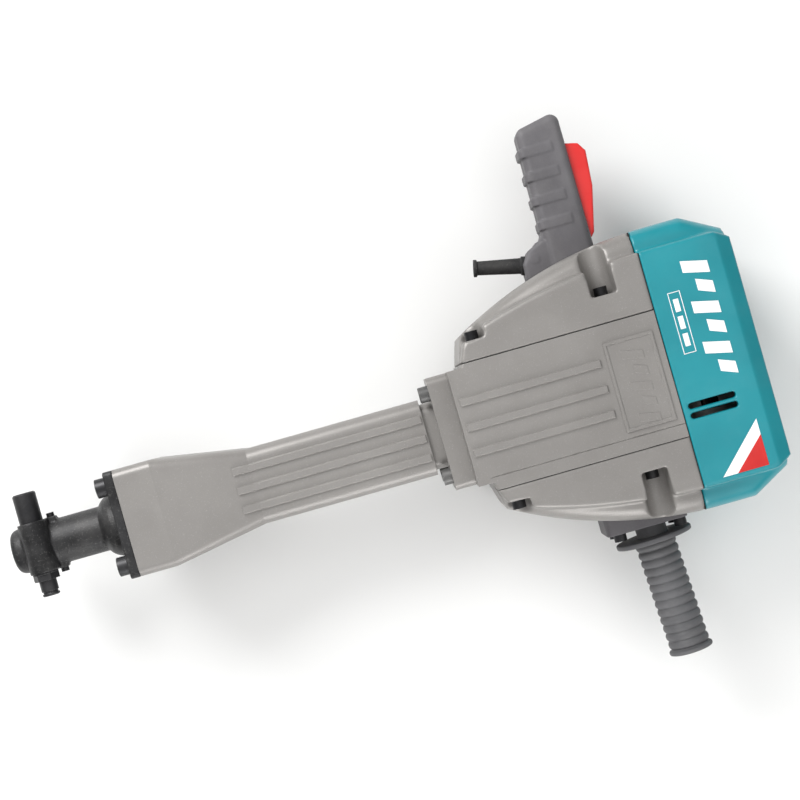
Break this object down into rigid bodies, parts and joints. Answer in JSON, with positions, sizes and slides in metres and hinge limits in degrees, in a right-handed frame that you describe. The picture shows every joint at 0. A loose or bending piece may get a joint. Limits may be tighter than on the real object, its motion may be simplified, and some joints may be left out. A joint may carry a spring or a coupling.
{
  "type": "electric jackhammer",
  "caption": "Electric demolition hammer with a hexagonal chisel socket, long square barrel, wide cast body, teal rear cover, trigger handle and ribbed side grip.",
  "frame": {"origin": "mouth of the chisel socket, on the tool axis", "axes": "+X along the tool axis from the socket mouth to the rear cover, +Y towards the trigger handle, +Z square to the flat ribbed side"},
  "size_m": [0.763, 0.5596, 0.197],
  "materials": {
    "cast_black": "grainy black casting",
    "tool_steel": "ground steel",
    "black_steel": "blackened steel",
    "zinc_steel": "zinc plated",
    "bronze": "plain bronze",
    "rubber_seal": "matte rubber",
    "painted_casting": "satin warm silver-grey paint on a casting",
    "bare_casting": "as cast",
    "iron_laminations": "stacked laminations",
    "copper": "enamelled copper",
    "fan_plastic": "matte black",
    "carbon": "matte carbon",
    "teal_cover": "satin gloss teal",
    "handle_plastic": "matte dark grey",
    "grip_rubber": "matte dark grey",
    "trigger_red": "gloss red"
  },
  "bodies": {
    "hammer_frame": {"barrel_flange_bolts": "zinc_steel", "barrel_housing": "painted_casting", "bearing_outer_rings": "tool_steel", "brush_holders": "fan_plastic", "cable_guard": "rubber_seal", "carbon_brushes": "carbon", "crankcase": "painted_casting", "crankcase_cover": "bare_casting", "cylinder": "tool_steel", "damper_rings": "rubber_seal", "detent_screws": "black_steel", "field_coils": "copper", "gear_cover": "bare_casting", "handle_bottom_half": "handle_plastic", "handle_screws": "black_steel", "handle_top_half": "handle_plastic", "impact_bolt_bushing": "bronze", "lock_pin_nut": "black_steel", "lock_pin_spring": "zinc_steel", "lower_shell": "painted_casting", "motor_housing": "bare_casting", "nameplate": "painted_casting", "nose_flange_bolts": "black_steel", "nose_housing": "cast_black", "rear_cover": "teal_cover", "rear_cover_screws": "black_steel", "shell_gaskets": "rubber_seal", "shell_screws": "black_steel", "side_grip": "grip_rubber", "side_handle_bolts": "black_steel", "side_handle_bracket": "handle_plastic", "side_handle_core": "black_steel", "stator_core": "iron_laminations", "switch_body": "fan_plastic", "tool_sleeve": "tool_steel", "trigger_pin": "black_steel", "trigger_spring": "zinc_steel", "upper_shell": "painted_casting"},
    "lock_pin_slide": {"lock_pin_collar": "black_steel"},
    "lock_pin_turn": {"lock_pin": "black_steel"},
    "impact_bolt": {"impact_bolt": "tool_steel"},
    "ram": {"ram": "tool_steel"},
    "piston": {"piston": "tool_steel", "piston_rings": "rubber_seal", "piston_pin": "tool_steel"},
    "connecting_rod": {"connecting_rod": "tool_steel", "crank_pin": "tool_steel"},
    "crank": {"crankshaft": "tool_steel", "crank_gear": "tool_steel", "crank_bearing_inner": "tool_steel"},
    "idler": {"idler_shaft": "tool_steel", "idler_gear": "tool_steel"},
    "armature": {"armature_shaft": "tool_steel", "armature_core": "iron_laminations", "armature_windings": "copper", "commutator": "copper", "fan": "fan_plastic", "motor_bearing_inner": "tool_steel"},
    "trigger": {"trigger": "trigger_red"},
    "switch_plunger": {"switch_plunger": "fan_plastic"}
  },
  "joints": [
    {"name": "lock_pin_pull", "type": "slide", "parent": "hammer_frame", "child": "lock_pin_slide", "axis": [0, 1, 0], "range_m": [0, 0.0045], "stiffness_N_per_m": 2500, "springref_m": -0.002, "deforming": ["lock_pin_spring"]},
    {"name": "lock_pin_turn", "type": "hinge", "parent": "lock_pin_slide", "child": "lock_pin_turn", "pos_m": [0.0275, 0, 0.02], "axis": [0, 1, 0], "range_deg": [0, 180]},
    {"name": "impact_bolt_slide", "type": "slide", "parent": "hammer_frame", "child": "impact_bolt", "axis": [1, 0, 0], "range_m": [0, 0.01]},
    {"name": "ram_slide", "type": "slide", "parent": "hammer_frame", "child": "ram", "axis": [1, 0, 0], "range_m": [0, 0.05]},
    {"name": "piston_slide", "type": "slide", "parent": "hammer_frame", "child": "piston", "axis": [1, 0, 0], "range_m": [0, 0.056]},
    {"name": "connecting_rod_swing", "type": "hinge", "parent": "piston", "child": "connecting_rod", "pos_m": [0.437, 0, 0], "axis": [0, 1, 0], "range_deg": [-14.7, 14.7]},
    {"name": "crank_spin", "type": "hinge", "parent": "hammer_frame", "child": "crank", "pos_m": [0.575, -0.04, 0], "axis": [0, 1, 0], "continuous": true},
    {"name": "idler_spin", "type": "hinge", "parent": "hammer_frame", "child": "idler", "pos_m": [0.64925, -0.06, 0], "axis": [0, 1, 0], "continuous": true},
    {"name": "armature_spin", "type": "hinge", "parent": "hammer_frame", "child": "armature", "pos_m": [0.71, 0, 0], "axis": [0, 1, 0], "continuous": true},
    {"name": "trigger_squeeze", "type": "hinge", "parent": "hammer_frame", "child": "trigger", "pos_m": [0.64, 0.155, 0], "axis": [0, 0, 1], "range_deg": [0, 7], "stiffness_Nm_per_rad": 8, "springref_deg": -3.44, "deforming": ["trigger_spring"]},
    {"name": "switch_plunger_travel", "type": "slide", "parent": "hammer_frame", "child": "switch_plunger", "axis": [-1, 0, 0], "range_m": [0, 0.0075]}
  ],
  "couplings": [
    {"joint": "idler_spin", "follows": "crank_spin", "ratio": -3.5},
    {"joint": "armature_spin", "follows": "crank_spin", "ratio": 12.25},
    {"joint": "switch_plunger_travel", "follows": "trigger_squeeze", "m_per_rad": 0.059}
  ]
}
